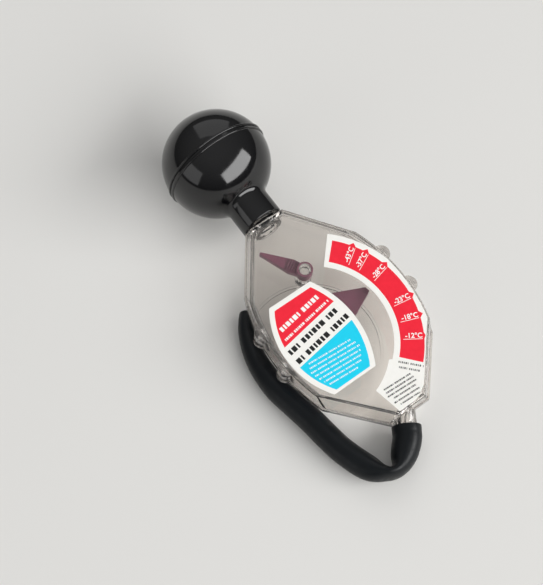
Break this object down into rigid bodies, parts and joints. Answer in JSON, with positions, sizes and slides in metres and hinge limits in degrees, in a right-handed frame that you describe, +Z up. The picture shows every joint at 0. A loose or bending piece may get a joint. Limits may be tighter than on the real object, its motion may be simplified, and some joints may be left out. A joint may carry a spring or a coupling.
{
  "type": "coolant tester",
  "caption": "Handheld coolant tester: clear leaf-shaped chamber with a swinging float pointer and level flag, printed scale, rubber squeeze bulb and folded suction hose.",
  "frame": {"origin": "on the floor under the middle of the tester's box, measured without the hose", "axes": "+X to the right across the dial, +Y along the tester towards the bulb, +Z up, with the dial facing up"},
  "size_m": [0.081, 0.1863, 0.051],
  "materials": {
    "bulb_rubber": "gloss",
    "hose_rubber": "satin",
    "clear_plastic": "clear gloss",
    "plum_plastic": "gloss",
    "ballast_brass": "plain",
    "scale_film": "printed film",
    "centre_film": "printed film"
  },
  "bodies": {
    "housing": {"front_shell": "clear_plastic", "rear_shell": "clear_plastic", "squeeze_bulb": "bulb_rubber", "suction_hose": "hose_rubber", "scale_label": "scale_film", "centre_label": "centre_film"},
    "pointer": {"pointer_float": "plum_plastic", "pointer_ballast": "ballast_brass"},
    "flag": {"level_flag": "plum_plastic"}
  },
  "joints": [
    {"name": "pointer_swing", "type": "hinge", "parent": "housing", "child": "pointer", "pos_m": [-0.0156, -0.03209, 0.01417], "axis": [0, -0.1188, 0.9929], "range_deg": [-60, 34]},
    {"name": "flag_swing", "type": "hinge", "parent": "housing", "child": "flag", "pos_m": [0, -0.0035, 0.01759], "axis": [0, -0.1188, 0.9929], "range_deg": [-70, 0]}
  ]
}
